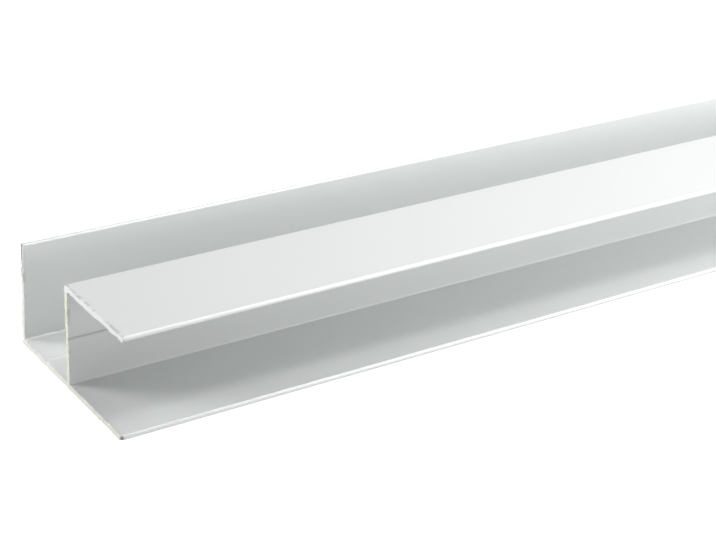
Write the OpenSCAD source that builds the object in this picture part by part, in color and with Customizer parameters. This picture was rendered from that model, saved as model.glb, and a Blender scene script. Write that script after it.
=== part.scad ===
// Corner profile in extruded aluminium for two boards of one thickness.
// An upward channel and a sideways channel stand on one base plate.
// Millimetres. The bar lies along X, its back wall is at +Y and its underside is on z = 0.

/* [Stock] */
// Length the bar is cut to
bar_length = 500; // [100:10:3000]
// Thickness of the boards that both channels take
board = 18; // [8:0.5:40]
// Thickness of the base, the back wall, the web and the flange
wall = 1; // [0.8:0.1:3]
// Depth of the base plate in front of the web
front_depth = 20; // [8:0.5:40]
// How far the flange reaches past the front edge of the base plate
flange_over = 1; // [0:0.5:6]

/* [Edges] */
// Radius on the two long outer corners
corner_r = 0.2; // [0.1:0.05:0.6]
// Radius in the long inside corners
inside_r = 0.3; // [0.1:0.05:0.6]

/* [Guide grooves] */
// Width of the drill guide groove in the floor of each channel
groove_w = 0.5; // [0.2:0.05:1]
// Depth of the drill guide groove
groove_d = 0.2; // [0.1:0.05:0.4]

/* [Hidden] */
// Outer height of the section
height = board + 2 * wall;
// Outer width of the upward channel, from the back face to the front face of the web
back_w = board + 2 * wall;
// Width of the base plate and of the whole section
base_w = back_w + front_depth;
width = base_w + flange_over;
// Outer back face and front face of the web
back_y = width / 2;
web_y = back_y - back_w;
// Overlap of a corner piece with what it is cut from or joined to
lap = 0.2;
$fn = 48;

// Strip of one wall's thickness along its middle line, with a round far edge
module strip(start, turn, reach) {
    translate(start)
        rotate(turn) {
            translate([0, -wall / 2])
                square([reach - wall / 2, wall]);
            translate([reach - wall / 2, 0])
                circle(wall / 2);
        }
}

// Corner piece with its sharp corner at a point and its hollow side turned into a quadrant
module corner(at, turn, r) {
    translate(at)
        rotate(turn)
            difference() {
                translate([-lap, -lap])
                    square(lap + r);
                translate([r, r])
                    circle(r);
            }
}

// Base, back wall, web and flange with sharp corners where they meet
module plates() {
    strip([back_y, wall / 2], 180, base_w);
    strip([back_y - wall / 2, 0], 90, height);
    translate([web_y, 0])
        square([wall, height]);
    strip([web_y + wall, height - wall / 2], 180, wall + front_depth + flange_over);
}

// Long outer corners that are rounded
module outer_corners() {
    corner([back_y, 0], 90, corner_r);
    corner([web_y + wall, height], 180, corner_r);
}

// Long inside corners that are filled
module inside_corners() {
    corner([back_y - wall, wall], 90, inside_r);
    corner([web_y + wall, wall], 0, inside_r);
    corner([web_y, wall], 90, inside_r);
    corner([web_y, height - wall], 180, inside_r);
}

// V groove that opens towards +Y of the drawing plane
module groove() {
    polygon([[0, -groove_d], [groove_w, groove_d], [-groove_w, groove_d]]);
}

// Section of the bar, drawn with Y across and Z up
module section() {
    difference() {
        union() {
            difference() {
                plates();
                outer_corners();
            }
            inside_corners();
        }
        translate([back_y - back_w / 2, wall])
            groove();
        translate([web_y, height / 2])
            rotate(90)
                groove();
    }
}

// The bar itself, one extruded piece sawn square at both ends
module corner_profile() {
    color("silver")
        rotate([90, 0, 90])
            linear_extrude(height = bar_length, center = true)
                section();
}

corner_profile();
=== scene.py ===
import math
import random

import bmesh
import bpy
from mathutils import Matrix, Vector
from mathutils.geometry import delaunay_2d_cdt


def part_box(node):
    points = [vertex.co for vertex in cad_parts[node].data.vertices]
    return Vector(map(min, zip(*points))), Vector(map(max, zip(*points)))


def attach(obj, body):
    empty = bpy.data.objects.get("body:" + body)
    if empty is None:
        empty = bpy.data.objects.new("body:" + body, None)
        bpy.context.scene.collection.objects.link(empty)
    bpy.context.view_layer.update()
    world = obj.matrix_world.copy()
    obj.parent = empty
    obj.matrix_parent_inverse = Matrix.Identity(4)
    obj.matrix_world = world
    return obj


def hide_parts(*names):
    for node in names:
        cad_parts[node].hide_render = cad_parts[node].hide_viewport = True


bl_info = {
    "name": "Aluminium corner profile",
    "version": (1, 0, 0),
    "blender": (4, 5, 0),
    "location": "View3D > Sidebar > Profile",
    "description": "Dresses a sawn length of anodised corner profile and sets it on a pale stage",
    "category": "Object",
}

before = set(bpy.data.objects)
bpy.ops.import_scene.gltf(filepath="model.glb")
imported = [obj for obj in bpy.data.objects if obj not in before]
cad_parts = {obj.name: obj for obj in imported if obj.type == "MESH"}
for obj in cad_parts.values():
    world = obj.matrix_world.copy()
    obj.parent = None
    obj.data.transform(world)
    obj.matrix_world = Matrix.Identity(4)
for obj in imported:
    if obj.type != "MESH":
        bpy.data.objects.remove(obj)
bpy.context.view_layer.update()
BAR_NODE = "corner_profile"
BAR_LOW, BAR_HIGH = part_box(BAR_NODE)
MM = 0.001

# Front face of the web: the upward channel is as wide outside as the section is high
WEB_FRONT = BAR_HIGH.y - (BAR_HIGH.z - BAR_LOW.z)
# Corners of the section that its two grooved sides start from
FLOOR_SIDE = 4
WEB_SIDE = 9
# Points of the outline that lie closer than this are one point
SAME_PLACE = 0.001 * MM

# The sawn end in the photograph, and the one out of sight
NEAR_END = -1
FAR_END = 1
# Waves that make up a ragged edge: the points that each spans, and its weight
RAGGED_SPANS = ((14, 0.35), (5, 0.4), (2, 0.25))
# Rings of points behind a cut: how far in each lies, and how much of the painted burr shadow shows there
CUT_RINGS = ((0.0, 0.3), (0.06 * MM, 0.6), (0.16 * MM, 0.7), (0.35 * MM, 0.4), (0.8 * MM, 0.0))
# Where the plain length of the bar starts, and how fast the cut's wear fades on the way there
CUT_REACH = 2.0 * MM
FADE_POWER = 8
# Height of a ragged edge where chips start, and where the painted burr shadows start and are full
CHIP_START = 0.45
BURR_SHADOW_START = 0.45
BURR_SHADOW_FULL = 0.70
# Share of the painted burr shadow that shows on the back wall, on the base and at the top
WALL_BURR_SHADOW = 0.2
LOW_BURR_SHADOW = 0.3
TOP_BURR_SHADOW = 0.7
# How dark the painted shade on the back wall's near end is, and how stained the base and the back wall are
WALL_SHADE_DARK = 0.8
PLATE_STAIN = 0.4
# Points on a cut face: share of the wall kept clear at each edge, gaps across the rest, and random shift
FACE_CLEAR = 0.2
FACE_GAPS = 3
FACE_SHIFT = 0.2
# Edges that turn more than this stay sharp
CREASE = math.radians(25)

# Bake map: its name, the sides' share of its width, where the sawn ends start and how high each is
BAKE_MAP = "OFBake"
SIDE_SHARE = 0.90
CAP_START = 0.91
CAP_HEIGHT = 0.48
# Values that each point carries for the materials: its painted shade and its stain
PAINTED_SHADE = "scuff"
STAIN = "stain"

# Die lines: noise cells in a metre along the bar and across it, and their spread of tint and gloss
DIE_LINES = (6.0, 5200.0, 5200.0)
TINT_SPREAD = 0.015
GLOSS_SPREAD = 0.04
# Sawn metal: noise cells in a metre of its grain and of its stains, and how dark the grain is
GRAIN_SCALE = 2600.0
PATCH_SCALE = 1100.0
GRAIN_SHADE = 0.8

# Width of the camera's sensor in millimetres, and the nearest that it sees in metres
SENSOR_WIDTH = 36.0
CLIP_START = 0.01
# Softboxes, and whether the bar mirrors each
SOFTBOXES = {"top": False, "fill": True, "right": False, "low": False, "rim": True}


class SectionSettings(bpy.types.PropertyGroup):
    """Sizes of the extruded section that the frame's box doesn't give"""

    wall: bpy.props.FloatProperty(
        name="Wall",
        description="Thickness of the base, the back wall, the web and the flange",
        default=1.0 * MM,
        unit="LENGTH",
    )
    flange_over: bpy.props.FloatProperty(
        name="Flange over",
        description="How far the flange reaches past the front edge of the base plate",
        default=1.0 * MM,
        unit="LENGTH",
    )
    corner_radius: bpy.props.FloatProperty(
        name="Corner radius",
        description="Radius on the two long outer corners",
        default=0.2 * MM,
        unit="LENGTH",
    )
    inside_radius: bpy.props.FloatProperty(
        name="Inside radius",
        description="Radius in the long inside corners",
        default=0.3 * MM,
        unit="LENGTH",
    )
    groove_width: bpy.props.FloatProperty(
        name="Groove width",
        description="Width of the drill guide groove in the floor of each channel",
        default=0.5 * MM,
        unit="LENGTH",
    )
    groove_depth: bpy.props.FloatProperty(
        name="Groove depth",
        description="Depth of the drill guide groove",
        default=0.2 * MM,
        unit="LENGTH",
    )
    arc_steps: bpy.props.IntProperty(
        name="Arc steps",
        description="Flat steps in each rounded corner of the section",
        default=6,
        min=2,
    )


class SawCutSettings(bpy.types.PropertyGroup):
    """How the saw left the two ends"""

    seed: bpy.props.IntProperty(
        name="Seed",
        description="Start of the random draws for the ragged edges",
        default=11,
    )
    tooth_step: bpy.props.FloatProperty(
        name="Tooth step",
        description="Spacing of the points along a cut edge",
        default=0.2 * MM,
        unit="LENGTH",
    )
    burr: bpy.props.FloatProperty(
        name="Burr",
        description="How far the burr leans out from the wall at the cut",
        default=0.10 * MM,
        unit="LENGTH",
    )
    nick: bpy.props.FloatProperty(
        name="Nick",
        description="How deep the cut edge is chipped along the bar",
        default=0.55 * MM,
        unit="LENGTH",
    )
    dent: bpy.props.FloatProperty(
        name="Dent",
        description="Reach of the dent in the near end of the base plate's front edge",
        default=0.9 * MM,
        unit="LENGTH",
    )
    skew: bpy.props.FloatProperty(
        name="Skew",
        description="How far the near cut runs back along the bar at the top of the back wall",
        default=0.45 * MM,
        unit="LENGTH",
    )
    # Painted shade: the upper outer part of the back wall's near end is darkened this far down
    wall_shade: bpy.props.FloatProperty(
        name="Wall shade",
        description="How far down from the top the near end of the back wall is painted dark",
        default=11.0 * MM,
        unit="LENGTH",
    )
    mark_pitch: bpy.props.FloatProperty(
        name="Mark pitch",
        description="Spacing of the saw marks on the cut face",
        default=0.7 * MM,
        unit="LENGTH",
    )
    mark_depth: bpy.props.FloatProperty(
        name="Mark depth",
        description="Depth of the saw marks on the cut face",
        default=0.04 * MM,
        unit="LENGTH",
    )
    mark_angle: bpy.props.FloatProperty(
        name="Mark angle",
        description="Lean of the saw marks from upright",
        default=math.radians(35),
        subtype="ANGLE",
    )


class FinishSettings(bpy.types.PropertyGroup):
    """Colours and gloss of the drawn faces and the sawn ends"""

    anodised: bpy.props.FloatVectorProperty(
        name="Anodised",
        description="Colour of the satin anodised faces",
        default=(0.652, 0.67, 0.664),
        subtype="COLOR",
        min=0.0,
        max=1.0,
    )
    anodised_roughness: bpy.props.FloatProperty(
        name="Anodised roughness",
        description="Mean roughness of the satin anodised faces",
        default=0.36,
        subtype="FACTOR",
        min=0.0,
        max=1.0,
    )
    anodised_metallic: bpy.props.FloatProperty(
        name="Anodised metallic",
        description="Share of the light that the satin anodised faces mirror as metal",
        default=0.35,
        subtype="FACTOR",
        min=0.0,
        max=1.0,
    )
    # Dark colour painted as shade at the cuts: burr shadows, the dent and the back wall's near end
    shade_colour: bpy.props.FloatVectorProperty(
        name="Painted shade",
        description="Colour of the anodised faces where the saw bruised them",
        default=(0.22, 0.22, 0.23),
        subtype="COLOR",
        min=0.0,
        max=1.0,
    )
    sawn: bpy.props.FloatVectorProperty(
        name="Sawn",
        description="Colour of the bare metal at the sawn ends",
        default=(0.93, 0.94, 0.94),
        subtype="COLOR",
        min=0.0,
        max=1.0,
    )
    stained: bpy.props.FloatVectorProperty(
        name="Stained",
        description="Colour of the bare metal where cutting grease stained it",
        default=(0.74, 0.73, 0.46),
        subtype="COLOR",
        min=0.0,
        max=1.0,
    )
    sawn_metallic: bpy.props.FloatProperty(
        name="Sawn metallic",
        description="Share of the light that the sawn ends mirror as metal",
        default=0.25,
        subtype="FACTOR",
        min=0.0,
        max=1.0,
    )
    sawn_roughness: bpy.props.FloatProperty(
        name="Sawn roughness",
        description="Mean roughness of the sawn ends",
        default=0.6,
        subtype="FACTOR",
        min=0.0,
        max=1.0,
    )


class StageSettings(bpy.types.PropertyGroup):
    """Floor, light and camera"""

    floor: bpy.props.FloatVectorProperty(
        name="Floor",
        description="Colour of the floor",
        default=(0.25, 0.25, 0.25),
        subtype="COLOR",
        min=0.0,
        max=1.0,
    )
    floor_glow: bpy.props.FloatProperty(
        name="Floor glow",
        description="Light that lifts the floor to white where it is looked at or mirrored",
        default=0.85,
        min=0.0,
    )
    floor_side: bpy.props.FloatProperty(
        name="Floor side",
        description="Side of the square floor",
        default=8.0,
        unit="LENGTH",
    )
    sky: bpy.props.FloatProperty(
        name="Sky",
        description="Strength of the even light from all round",
        default=0.06,
        min=0.0,
    )
    top: bpy.props.FloatProperty(
        name="Top",
        description="Power of the softbox above the bar",
        default=1.62,
        unit="POWER",
    )
    top_side: bpy.props.FloatProperty(
        name="Top side",
        description="Side of the softbox above the bar",
        default=0.4,
        unit="LENGTH",
    )
    top_place: bpy.props.FloatVectorProperty(
        name="Top place",
        description="Centre of the softbox above the bar",
        default=(-0.05, 0.0, 0.3),
        subtype="TRANSLATION",
        unit="LENGTH",
    )
    strip: bpy.props.FloatProperty(
        name="Strip",
        description="Power of the strip light along the bar",
        default=0.3,
        unit="POWER",
    )
    strip_length: bpy.props.FloatProperty(
        name="Strip length",
        description="Length of the strip light along the bar",
        default=0.3,
        unit="LENGTH",
    )
    strip_side: bpy.props.FloatProperty(
        name="Strip side",
        description="Width of the strip light along the bar",
        default=0.05,
        unit="LENGTH",
    )
    strip_place: bpy.props.FloatVectorProperty(
        name="Strip place",
        description="Centre of the strip light along the bar",
        default=(-0.08, -0.125, 0.29),
        subtype="TRANSLATION",
        unit="LENGTH",
    )
    fill: bpy.props.FloatProperty(
        name="Fill",
        description="Power of the softbox half way up the right",
        default=0.26,
        unit="POWER",
    )
    fill_side: bpy.props.FloatProperty(
        name="Fill side",
        description="Side of the softbox half way up the right",
        default=0.22,
        unit="LENGTH",
    )
    fill_place: bpy.props.FloatVectorProperty(
        name="Fill place",
        description="Centre of the softbox half way up the right",
        default=(-0.02, -0.18, 0.12),
        subtype="TRANSLATION",
        unit="LENGTH",
    )
    right: bpy.props.FloatProperty(
        name="Right",
        description="Power of the softbox at the far right",
        default=1.1,
        unit="POWER",
    )
    right_side: bpy.props.FloatProperty(
        name="Right side",
        description="Side of the softbox at the far right",
        default=0.2,
        unit="LENGTH",
    )
    right_place: bpy.props.FloatVectorProperty(
        name="Right place",
        description="Centre of the softbox at the far right",
        default=(0.12, -0.2, 0.15),
        subtype="TRANSLATION",
        unit="LENGTH",
    )
    low: bpy.props.FloatProperty(
        name="Low",
        description="Power of the softbox low at the front",
        default=0.72,
        unit="POWER",
    )
    low_side: bpy.props.FloatProperty(
        name="Low side",
        description="Side of the softbox low at the front",
        default=0.12,
        unit="LENGTH",
    )
    low_place: bpy.props.FloatVectorProperty(
        name="Low place",
        description="Centre of the softbox low at the front",
        default=(-0.02, -0.45, 0.06),
        subtype="TRANSLATION",
        unit="LENGTH",
    )
    rim: bpy.props.FloatProperty(
        name="Rim",
        description="Power of the softbox behind the left",
        default=3.75,
        unit="POWER",
    )
    rim_side: bpy.props.FloatProperty(
        name="Rim side",
        description="Side of the softbox behind the left",
        default=0.25,
        unit="LENGTH",
    )
    rim_place: bpy.props.FloatVectorProperty(
        name="Rim place",
        description="Centre of the softbox behind the left",
        default=(-0.635, 0.385, 0.25),
        subtype="TRANSLATION",
        unit="LENGTH",
    )
    aim: bpy.props.FloatVectorProperty(
        name="Aim",
        description="Point that the camera looks at, from the middle of the sawn end's foot",
        default=(59.67 * MM, 0.0, 9.75 * MM),
        subtype="TRANSLATION",
        unit="LENGTH",
    )
    azimuth: bpy.props.FloatProperty(
        name="Azimuth",
        description="Turn of the camera round the bar from the front",
        default=math.radians(-34.86),
        subtype="ANGLE",
    )
    elevation: bpy.props.FloatProperty(
        name="Elevation",
        description="Height of the camera above the horizon",
        default=math.radians(25.60),
        subtype="ANGLE",
    )
    roll: bpy.props.FloatProperty(
        name="Roll",
        description="Turn of the camera about its own axis",
        default=math.radians(2.82),
        subtype="ANGLE",
    )
    distance: bpy.props.FloatProperty(
        name="Distance",
        description="Distance of the camera from its aim",
        default=0.3299,
        unit="LENGTH",
    )
    lens: bpy.props.FloatProperty(
        name="Lens",
        description="Focal length on a sensor 36 mm wide",
        default=87.5,
        unit="CAMERA",
    )


def corner_list(section):
    """Corners of the section with their radii, anticlockwise with Y to the right and Z up."""
    wall = section.wall
    tip = wall / 2
    outer = section.corner_radius
    inner = section.inside_radius
    front = BAR_LOW.y
    base_front = front + section.flange_over
    back = BAR_HIGH.y
    low = BAR_LOW.z
    top = BAR_HIGH.z
    web = WEB_FRONT
    return [
        (base_front, low, tip),
        (back, low, outer),
        (back, top, tip),
        (back - wall, top, tip),
        (back - wall, low + wall, inner),
        (web + wall, low + wall, inner),
        (web + wall, top, outer),
        (front, top, tip),
        (front, top - wall, tip),
        (web, top - wall, inner),
        (web, low + wall, inner),
        (base_front, low + wall, tip),
    ]


def arc_points(before, corner, after, radius, steps):
    """Points of the quarter arc that rounds a square corner."""
    to_before = (before - corner).normalized()
    to_after = (after - corner).normalized()
    centre = corner + (to_before + to_after) * radius
    points = []
    for step in range(steps + 1):
        turn = math.pi / 2 * step / steps
        points.append(centre - to_after * radius * math.cos(turn) - to_before * radius * math.sin(turn))
    return points


def groove_points(start, end, width, depth):
    """Lip, root and lip of the guide groove in the middle of one side of the outline."""
    along = (end - start).normalized()
    inward = Vector((-along.y, along.x))
    middle = (start + end) / 2
    return [
        middle - along * width / 2,
        middle + inward * depth,
        middle + along * width / 2,
    ]


def outline_points(section):
    """The section's outline as points with only what its arcs and grooves need."""
    corners = corner_list(section)
    places = [Vector(corner[:2]) for corner in corners]
    points = []
    for index, (_, _, radius) in enumerate(corners):
        before = places[index - 1]
        after = places[(index + 1) % len(places)]
        points += arc_points(before, places[index], after, radius, section.arc_steps)
        if index in (FLOOR_SIDE, WEB_SIDE):
            points += groove_points(places[index], after, section.groove_width, section.groove_depth)
    return [point for index, point in enumerate(points) if (point - points[index - 1]).length > SAME_PLACE]


def divided(points, step):
    """The outline with its long stretches divided, and where each first point now stands."""
    dense = []
    kept = []
    for index, point in enumerate(points):
        after = points[(index + 1) % len(points)]
        kept.append(len(dense))
        parts = max(1, round((after - point).length / step))
        dense += [point.lerp(after, part / parts) for part in range(parts)]
    return dense, kept


def outward(points):
    """Unit vectors that point out of the section at each point of its outline."""
    normals = []
    for index in range(len(points)):
        along = points[(index + 1) % len(points)] - points[index - 1]
        normals.append(Vector((along.y, -along.x)).normalized())
    return normals


def run_shares(points):
    """Share of the outline's length that lies before each point, and 1 at the end."""
    total = 0.0
    lengths = [0.0]
    for index, point in enumerate(points):
        total += (points[(index + 1) % len(points)] - point).length
        lengths.append(total)
    return [length / total for length in lengths]


def ragged(draw, count, spans):
    """Closed run of smooth random values from 0 to 1, summed over several spans of points."""
    values = [0.0] * count
    for span, weight in spans:
        knots = max(3, round(count / span))
        heights = [draw.random() for _ in range(knots)]
        for index in range(count):
            place = index * knots / count
            knot = int(place)
            part = place - knot
            blend = part * part * (3 - 2 * part)
            height = heights[knot % knots] * (1 - blend) + heights[(knot + 1) % knots] * blend
            values[index] += height * weight
    return values


def saw_mark(cut, place, phase):
    """Depth of the saw marks at a place on the cut face."""
    across = place.x * math.cos(cut.mark_angle) + place.y * math.sin(cut.mark_angle)
    turn = across / cut.mark_pitch * 2 * math.pi + phase
    coarse = math.sin(turn) * 0.6
    fine = math.sin(turn * 2.7 + 1.3) * 0.4
    return (coarse + fine) * cut.mark_depth / 2


def eased(value, low, high):
    """Smooth rise from 0 at the low value to 1 at the high one."""
    share = min(max((value - low) / (high - low), 0.0), 1.0)
    return share * share * (3 - 2 * share)


def dent_share(cut, section, place):
    """How deep the dent in the base plate's front edge is at a place on the cut, from 0 to 1; the same
    share paints the dent dark as painted shade.
    """
    middle = Vector((BAR_LOW.y + section.flange_over, BAR_LOW.z + section.wall / 4))
    return 1 - eased((place - middle).length, 0.2 * cut.dent, cut.dent)


def wall_shade_share(cut, section, place):
    """How dark the painted shade on the back wall's near end is at a place on the cut, from 0 to 1."""
    outside = eased(place.x, BAR_HIGH.y - 0.9 * section.wall, BAR_HIGH.y - 0.5 * section.wall)
    return WALL_SHADE_DARK * outside * eased(place.y, BAR_HIGH.z - cut.wall_shade, BAR_HIGH.z)


def burr_shadow_share(section, place):
    """How much of the painted burr shadow shows at a place on the outline, from 0 to 1."""
    if place.x > BAR_HIGH.y - 1.5 * section.wall:
        return WALL_BURR_SHADOW
    rise = eased(place.y, (BAR_LOW.z + BAR_HIGH.z) / 2, BAR_HIGH.z)
    return LOW_BURR_SHADOW + (TOP_BURR_SHADOW - LOW_BURR_SHADOW) * rise


def stain_share(section, place):
    """How much grease stained a place on the cut, from 0 on the flange to 1 on the web."""
    web_middle = WEB_FRONT + section.wall / 2
    on_web = 1 - eased(abs(place.x - web_middle), section.wall, 2 * section.wall)
    height = (place.y - BAR_LOW.z) / (BAR_HIGH.z - BAR_LOW.z)
    rise = eased(height, -0.2, 0.6)
    below_flange = 1 - eased(height, 0.9, 0.96)
    return (PLATE_STAIN + (1 - PLATE_STAIN) * on_web * rise) * below_flange


def skew_depth(cut, place):
    """How far the near cut runs back at a place on it."""
    across = max(0.0, place.x / BAR_HIGH.y)
    return cut.skew * across * (place.y - BAR_LOW.z) / (BAR_HIGH.z - BAR_LOW.z)


def along_bar(end, depth):
    """Place along the bar at a depth behind one of its sawn ends."""
    if end == NEAR_END:
        return BAR_LOW.x + depth
    return BAR_HIGH.x - depth


def face_points(section, draw):
    """Points spread over the cut face, clear of its outline."""
    wall = section.wall
    clear = FACE_CLEAR * wall
    front = BAR_LOW.y
    back = BAR_HIGH.y
    low = BAR_LOW.z
    top = BAR_HIGH.z
    web_back = WEB_FRONT + wall
    plates = (
        (front + section.flange_over, low, back, low + wall),
        (back - wall, low, back, top),
        (WEB_FRONT, low, web_back, top),
        (front, top - wall, web_back, top),
    )
    step = (wall - 2 * clear) / FACE_GAPS
    points = []
    for row in range(int((top - low) / step)):
        for column in range(int((back - front) / step)):
            across = draw.uniform(-FACE_SHIFT, FACE_SHIFT)
            up = draw.uniform(-FACE_SHIFT, FACE_SHIFT)
            shift = Vector((across, up)) * step
            place = Vector((front + clear + column * step, low + clear + row * step)) + shift
            for left, under, right, over in plates:
                if left + clear <= place.x <= right - clear and under + clear <= place.y <= over - clear:
                    points.append(place)
                    break
    return points


def cap_triangles(outline, inside):
    """Triangles that fill the outline through the inside points, as indices into both lists."""
    spots = [place / MM for place in outline + inside]
    rim = list(range(len(outline)))
    filled = delaunay_2d_cdt(spots, [], [rim], 1, 1e-6)
    source = [origins[0] for origins in filled[3]]
    return [[source[index] for index in face] for face in filled[2]]


class BarSkin:
    """The bar's faces, with their places on the bake map and how much painted shade and stain each point
    carries
    """

    def __init__(self):
        self.mesh = bmesh.new()
        self.places = self.mesh.loops.layers.uv.new(BAKE_MAP)
        self.scuff = self.mesh.verts.layers.float.new(PAINTED_SHADE)
        self.stain = self.mesh.verts.layers.float.new(STAIN)

    def point(self, x, y, z, scuff=0.0, stain=0.0):
        """One point, held inside the bar's own box."""
        y = min(max(y, BAR_LOW.y), BAR_HIGH.y)
        z = min(max(z, BAR_LOW.z), BAR_HIGH.z)
        point = self.mesh.verts.new((x, y, z))
        point[self.scuff] = scuff
        point[self.stain] = stain
        return point

    def side(self, corners):
        """One face along the bar, from points with their shares of the outline."""
        face = self.mesh.faces.new([point for point, _ in corners])
        length = BAR_HIGH.x - BAR_LOW.x
        for loop, (point, share) in zip(face.loops, corners):
            loop[self.places].uv = ((point.co.x - BAR_LOW.x) / length * SIDE_SHARE, share)

    def cap(self, corners, end):
        """One face of a sawn end."""
        face = self.mesh.faces.new(corners)
        face.material_index = 1
        first = 0.0 if end == NEAR_END else 1.0 - CAP_HEIGHT
        for loop in face.loops:
            place = loop.vert.co
            across = (place.y - BAR_LOW.y) / (BAR_HIGH.y - BAR_LOW.y)
            up = (place.z - BAR_LOW.z) / (BAR_HIGH.z - BAR_LOW.z)
            loop[self.places].uv = (CAP_START + (1.0 - CAP_START) * up, first + CAP_HEIGHT * across)


def cut_rings(skin, section, cut, outline, end, draw):
    """Rings of points from the rim of one sawn end towards the plain bar."""
    count = len(outline)
    near = end == NEAR_END
    normals = outward(outline)
    lean = ragged(draw, count, RAGGED_SPANS)
    chip = [max(0.0, value - CHIP_START) for value in ragged(draw, count, RAGGED_SPANS)]
    # Painted burr shadow: a broken dark line along each cut edge, strongest at the top
    burr_shadow = [eased(value, BURR_SHADOW_START, BURR_SHADOW_FULL) for value in ragged(draw, count, RAGGED_SPANS)]
    burr_shadow = [value * burr_shadow_share(section, place) for value, place in zip(burr_shadow, outline)]
    stains = [stain_share(section, place) for place in outline]
    # Painted shade in the dent at the near end of the base plate's front edge
    dents = [dent_share(cut, section, place) if near else 0.0 for place in outline]
    # Painted shade on the upper outer part of the back wall's near end
    wall_shades = [wall_shade_share(cut, section, place) if near else 0.0 for place in outline]
    skews = [skew_depth(cut, place) if near else 0.0 for place in outline]
    rings = []
    for offset, shaded in CUT_RINGS:
        fade = (1 - offset / CUT_REACH) ** FADE_POWER
        ring = []
        for index, place in enumerate(outline):
            lost = cut.nick * chip[index] + cut.dent * dents[index] / 2
            out = normals[index] * (cut.burr * lean[index] - lost / 2) * fade
            x = along_bar(end, offset + lost * fade + skews[index])
            # Painted shade at the cut: burr shadow, dent and back wall's near end, whichever is darkest
            dark = max(burr_shadow[index] * shaded, dents[index] * fade, wall_shades[index] * fade)
            ring.append(skin.point(x, place.x + out.x, place.y + out.y, dark, stains[index]))
        rings.append(ring)
    return rings


def add_cut_face(skin, section, cut, outline, rim, end, draw):
    """The sawn face that closes one end inside its rim."""
    phase = draw.uniform(0, 2 * math.pi)
    inside = face_points(section, draw)
    points = list(rim)
    for place in inside:
        depth = saw_mark(cut, place, phase) + cut.mark_depth / 2
        dark = 0.0
        if end == NEAR_END:
            depth += skew_depth(cut, place)
            # Painted shade on the cut face in the dent and on the back wall's near end
            dark = max(dent_share(cut, section, place), wall_shade_share(cut, section, place))
        stain = stain_share(section, place)
        points.append(skin.point(along_bar(end, depth), place.x, place.y, dark, stain))
    for triangle in cap_triangles(outline, inside):
        corners = [points[index] for index in triangle]
        if end == NEAR_END:
            corners.reverse()
        skin.cap(corners, end)


def join_equal_rings(skin, first, second, shares):
    """Faces between two rings of as many points, the first nearer the photographed end."""
    for index in range(len(first)):
        after = (index + 1) % len(first)
        here, there = shares[index], shares[index + 1]
        skin.side([
            (first[index], here),
            (first[after], there),
            (second[after], there),
            (second[index], here),
        ])


def add_cut_end(skin, section, cut, outline, shares, end, draw):
    """One sawn end and the rings behind it. Returns the innermost ring."""
    rings = cut_rings(skin, section, cut, outline, end, draw)
    add_cut_face(skin, section, cut, outline, rings[0], end, draw)
    for outer, inner in zip(rings, rings[1:]):
        if end == NEAR_END:
            join_equal_rings(skin, outer, inner, shares)
        else:
            join_equal_rings(skin, inner, outer, shares)
    return rings[-1]


def join_rings(skin, dense, dense_shares, plain, shares, kept, dense_first):
    """Faces between a divided ring and a plain one."""
    for index, start in enumerate(kept):
        stop = kept[index + 1] if index + 1 < len(kept) else len(dense)
        run = [(dense[place % len(dense)], dense_shares[place]) for place in range(start, stop + 1)]
        here = (plain[index], shares[index])
        there = (plain[(index + 1) % len(plain)], shares[index + 1])
        if dense_first:
            skin.side(run + [there, here])
        else:
            skin.side([here, there] + run[::-1])


def bar_mesh(section, cut):
    """The whole bar as one closed mesh."""
    draw = random.Random(cut.seed)
    points = outline_points(section)
    shares = run_shares(points)
    dense, kept = divided(points, cut.tooth_step)
    dense_shares = run_shares(dense)
    skin = BarSkin()
    near = add_cut_end(skin, section, cut, dense, dense_shares, NEAR_END, draw)
    far = add_cut_end(skin, section, cut, dense, dense_shares, FAR_END, draw)
    near_plain = [skin.point(along_bar(NEAR_END, CUT_REACH), *place) for place in points]
    far_plain = [skin.point(along_bar(FAR_END, CUT_REACH), *place) for place in points]
    join_rings(skin, near, dense_shares, near_plain, shares, kept, True)
    join_rings(skin, far, dense_shares, far_plain, shares, kept, False)
    join_equal_rings(skin, near_plain, far_plain, shares)
    skin.mesh.normal_update()
    for face in skin.mesh.faces:
        face.smooth = True
    for edge in skin.mesh.edges:
        edge.smooth = edge.calc_face_angle(0.0) < CREASE
    data = bpy.data.meshes.new("sawn_bar")
    skin.mesh.to_mesh(data)
    skin.mesh.free()
    return data


class NodeSheet:
    """Adds and joins the nodes of one material"""

    def __init__(self, name):
        self.material = bpy.data.materials.new(name)
        self.material.use_nodes = True
        self.tree = self.material.node_tree
        self.tree.nodes.clear()

    def add(self, kind, **values):
        """One shader node with its settings."""
        node = self.tree.nodes.new("ShaderNode" + kind)
        for name, value in values.items():
            setattr(node, name, value)
        return node

    def join(self, source, output, target, entry):
        """A link from one node's output to another's input."""
        self.tree.links.new(source.outputs[output], target.inputs[entry])


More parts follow.
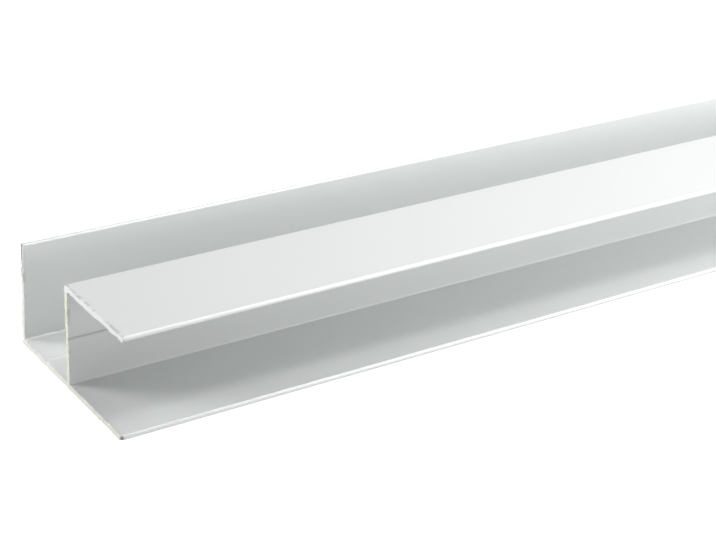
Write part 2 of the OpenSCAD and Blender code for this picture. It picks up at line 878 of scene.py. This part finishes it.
def anodised_material(finish):
    """Satin anodised skin with fine die lines along the bar, and painted shade at the cuts."""
    sheet = NodeSheet("anodised_satin")
    place = sheet.add("TexCoord")
    stretch = sheet.add("Mapping")
    stretch.inputs["Scale"].default_value = DIE_LINES
    sheet.join(place, "Object", stretch, "Vector")
    lines = sheet.add("TexNoise")
    lines.inputs["Scale"].default_value = 1.0
    lines.inputs["Detail"].default_value = 3.0
    sheet.join(stretch, "Vector", lines, "Vector")
    tint = sheet.add("MixRGB", blend_type="MIX")
    darker = [value * (1 - TINT_SPREAD) for value in finish.anodised]
    lighter = [min(1.0, value * (1 + TINT_SPREAD)) for value in finish.anodised]
    tint.inputs["Color1"].default_value = (*darker, 1.0)
    tint.inputs["Color2"].default_value = (*lighter, 1.0)
    sheet.join(lines, "Fac", tint, "Fac")
    # Painted shade at the cuts, mixed in with the shade colour
    scuff = sheet.add("Attribute", attribute_name=PAINTED_SHADE)
    shade_mix = sheet.add("MixRGB", blend_type="MIX")
    shade_mix.inputs["Color2"].default_value = (*finish.shade_colour, 1.0)
    sheet.join(scuff, "Fac", shade_mix, "Fac")
    sheet.join(tint, "Color", shade_mix, "Color1")
    gloss = sheet.add("MapRange")
    gloss.inputs["To Min"].default_value = finish.anodised_roughness - GLOSS_SPREAD
    gloss.inputs["To Max"].default_value = finish.anodised_roughness + GLOSS_SPREAD
    sheet.join(lines, "Fac", gloss, "Value")
    relief = sheet.add("Bump")
    relief.inputs["Strength"].default_value = 0.08
    relief.inputs["Distance"].default_value = 0.02 * MM
    sheet.join(lines, "Fac", relief, "Height")
    skin = sheet.add("BsdfPrincipled")
    skin.inputs["Metallic"].default_value = finish.anodised_metallic
    skin.inputs["Specular IOR Level"].default_value = 0.3
    sheet.join(shade_mix, "Color", skin, "Base Color")
    sheet.join(gloss, "Result", skin, "Roughness")
    sheet.join(relief, "Normal", skin, "Normal")
    out = sheet.add("OutputMaterial")
    sheet.join(skin, "BSDF", out, "Surface")
    return sheet.material


def sawn_material(finish):
    """Bare sawn metal, bright and rough."""
    sheet = NodeSheet("sawn_metal")
    place = sheet.add("TexCoord")
    grain = sheet.add("TexNoise")
    grain.inputs["Scale"].default_value = GRAIN_SCALE
    grain.inputs["Detail"].default_value = 4.0
    sheet.join(place, "Object", grain, "Vector")
    tint = sheet.add("MixRGB", blend_type="MIX")
    tint.inputs["Color1"].default_value = (*[value * GRAIN_SHADE for value in finish.sawn], 1.0)
    tint.inputs["Color2"].default_value = (*finish.sawn, 1.0)
    sheet.join(grain, "Fac", tint, "Fac")
    patches = sheet.add("TexNoise")
    patches.inputs["Scale"].default_value = PATCH_SCALE
    patches.inputs["Detail"].default_value = 2.0
    sheet.join(place, "Object", patches, "Vector")
    cover = sheet.add("MapRange")
    cover.inputs["From Min"].default_value = 0.35
    cover.inputs["From Max"].default_value = 0.6
    sheet.join(patches, "Fac", cover, "Value")
    stain = sheet.add("Attribute", attribute_name=STAIN)
    soaked = sheet.add("Math", operation="MULTIPLY")
    sheet.join(cover, "Result", soaked, 0)
    sheet.join(stain, "Fac", soaked, 1)
    stained = sheet.add("MixRGB", blend_type="MIX")
    stained.inputs["Color2"].default_value = (*finish.stained, 1.0)
    sheet.join(soaked, "Value", stained, "Fac")
    sheet.join(tint, "Color", stained, "Color1")
    # Painted shade in the dent and on the back wall's near end, mixed in with the shade colour
    scuff = sheet.add("Attribute", attribute_name=PAINTED_SHADE)
    shade_mix = sheet.add("MixRGB", blend_type="MIX")
    shade_mix.inputs["Color2"].default_value = (*finish.shade_colour, 1.0)
    sheet.join(scuff, "Fac", shade_mix, "Fac")
    sheet.join(stained, "Color", shade_mix, "Color1")
    relief = sheet.add("Bump")
    relief.inputs["Strength"].default_value = 0.5
    relief.inputs["Distance"].default_value = 0.05 * MM
    sheet.join(grain, "Fac", relief, "Height")
    metal = sheet.add("BsdfPrincipled")
    metal.inputs["Metallic"].default_value = finish.sawn_metallic
    metal.inputs["Roughness"].default_value = finish.sawn_roughness
    sheet.join(shade_mix, "Color", metal, "Base Color")
    sheet.join(relief, "Normal", metal, "Normal")
    out = sheet.add("OutputMaterial")
    sheet.join(metal, "BSDF", out, "Surface")
    return sheet.material


def floor_material(stage):
    """Pale floor that keeps the bar's shadow and is white where it is looked at or mirrored."""
    sheet = NodeSheet("pale_floor")
    matte = sheet.add("BsdfDiffuse")
    matte.inputs["Color"].default_value = (*stage.floor, 1.0)
    ray = sheet.add("LightPath")
    seen = sheet.add("Math", operation="MAXIMUM")
    sheet.join(ray, "Is Camera Ray", seen, 0)
    sheet.join(ray, "Is Glossy Ray", seen, 1)
    looked_at = sheet.add("Math", operation="MAXIMUM")
    sheet.join(seen, "Value", looked_at, 0)
    sheet.join(ray, "Is Transmission Ray", looked_at, 1)
    level = sheet.add("Math", operation="MULTIPLY")
    level.inputs[1].default_value = stage.floor_glow
    sheet.join(looked_at, "Value", level, 0)
    glow = sheet.add("Emission")
    sheet.join(level, "Value", glow, "Strength")
    both = sheet.add("AddShader")
    sheet.join(matte, "BSDF", both, 0)
    sheet.join(glow, "Emission", both, 1)
    out = sheet.add("OutputMaterial")
    sheet.join(both, "Shader", out, "Surface")
    return sheet.material


def link(thing):
    """Puts an object into the scene."""
    bpy.context.scene.collection.objects.link(thing)
    return thing


def make_floor(stage):
    """Flat floor under the bar."""
    half = stage.floor_side / 2
    data = bpy.data.meshes.new("floor")
    corners = [(-half, -half, 0.0), (half, -half, 0.0), (half, half, 0.0), (-half, half, 0.0)]
    data.from_pydata(corners, [], [(0, 1, 2, 3)])
    data.materials.append(floor_material(stage))
    floor = link(bpy.data.objects.new("floor", data))


def make_sky(stage):
    """Even pale light from all round."""
    world = bpy.data.worlds.new("studio")
    world.use_nodes = True
    world.node_tree.nodes["Background"].inputs["Color"].default_value = (1.0, 1.0, 1.0, 1.0)
    world.node_tree.nodes["Background"].inputs["Strength"].default_value = stage.sky
    bpy.context.scene.world = world


def make_softbox(name, place, length, side, power, aim, mirrored):
    """Softbox that looks at a point and is mirrored in the bar or not."""
    data = bpy.data.lights.new(name, "AREA")
    data.shape = "RECTANGLE"
    data.size = length
    data.size_y = side
    data.energy = power
    lamp = link(bpy.data.objects.new(name, data))
    lamp.location = place
    lamp.rotation_euler = (aim - Vector(place)).to_track_quat("-Z", "Y").to_euler()
    lamp.visible_camera = False
    lamp.visible_glossy = mirrored


def camera_aim(stage):
    """Point that the camera looks at."""
    return Vector((BAR_LOW.x, 0.0, BAR_LOW.z)) + Vector(stage.aim)


def make_camera(stage):
    """Camera at the photograph's place."""
    data = bpy.data.cameras.new("camera")
    data.sensor_width = SENSOR_WIDTH
    data.lens = stage.lens
    data.clip_start = CLIP_START
    camera = link(bpy.data.objects.new("camera", data))
    level = math.cos(stage.elevation)
    back = Vector((
        math.sin(stage.azimuth) * level,
        -math.cos(stage.azimuth) * level,
        math.sin(stage.elevation),
    ))
    camera.location = camera_aim(stage) + back * stage.distance
    turn = (-back).to_track_quat("-Z", "Y").to_matrix().to_4x4()
    camera.rotation_euler = (turn @ Matrix.Rotation(stage.roll, 4, "Z")).to_euler()
    bpy.context.scene.camera = camera


class PROFILE_OT_make_bar(bpy.types.Operator):
    """Make the sawn bar in place of the plain solid"""

    bl_idname = "profile.make_bar"
    bl_label = "Make sawn bar"

    def execute(self, context):
        scene = context.scene
        data = bar_mesh(scene.profile_section, scene.profile_cut)
        data.materials.append(anodised_material(scene.profile_finish))
        data.materials.append(sawn_material(scene.profile_finish))
        bar = link(bpy.data.objects.new("sawn_bar", data))
        weigh = bar.modifiers.new("even_faces", "WEIGHTED_NORMAL")
        weigh.keep_sharp = True
        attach(bar, "root")
        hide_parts(BAR_NODE)
        return {"FINISHED"}


class PROFILE_OT_make_stage(bpy.types.Operator):
    """Make the floor, the light and the camera"""

    bl_idname = "profile.make_stage"
    bl_label = "Make stage"

    def execute(self, context):
        stage = context.scene.profile_stage
        make_floor(stage)
        make_sky(stage)
        aim = camera_aim(stage)
        for name, mirrored in SOFTBOXES.items():
            place = getattr(stage, name + "_place")
            side = getattr(stage, name + "_side")
            power = getattr(stage, name)
            make_softbox(name, place, side, side, power, aim, mirrored)
        place = stage.strip_place
        across = Vector((place.x, 0.0, aim.z))
        make_softbox("strip", place, stage.strip_length, stage.strip_side, stage.strip, across, True)
        make_camera(stage)
        context.scene.view_settings.view_transform = "Standard"
        return {"FINISHED"}


class PROFILE_PT_sidebar(bpy.types.Panel):
    """Sizes, finishes and steps of the corner profile"""

    bl_idname = "PROFILE_PT_sidebar"
    bl_label = "Corner profile"
    bl_space_type = "VIEW_3D"
    bl_region_type = "UI"
    bl_category = "Profile"

    def draw(self, context):
        for group in SETTINGS:
            box = self.layout.box()
            settings = getattr(context.scene, group)
            for name in settings.__annotations__:
                box.prop(settings, name)
        for operator in OPERATORS:
            self.layout.operator(operator.bl_idname)


SETTINGS = {
    "profile_section": SectionSettings,
    "profile_cut": SawCutSettings,
    "profile_finish": FinishSettings,
    "profile_stage": StageSettings,
}
OPERATORS = (PROFILE_OT_make_bar, PROFILE_OT_make_stage)


def register():
    """Registers the settings, the operators and the panel."""
    for name, group in SETTINGS.items():
        bpy.utils.register_class(group)
        setattr(bpy.types.Scene, name, bpy.props.PointerProperty(type=group))
    for operator in OPERATORS:
        bpy.utils.register_class(operator)
    bpy.utils.register_class(PROFILE_PT_sidebar)


def unregister():
    """Takes everything that register added out again."""
    bpy.utils.unregister_class(PROFILE_PT_sidebar)
    for operator in reversed(OPERATORS):
        bpy.utils.unregister_class(operator)
    for name, group in SETTINGS.items():
        delattr(bpy.types.Scene, name)
        bpy.utils.unregister_class(group)


def main():
    """Makes the dressed bar and its stage."""
    register()
    bpy.ops.profile.make_bar()
    bpy.ops.profile.make_stage()


if __name__ == "__main__":
    main()
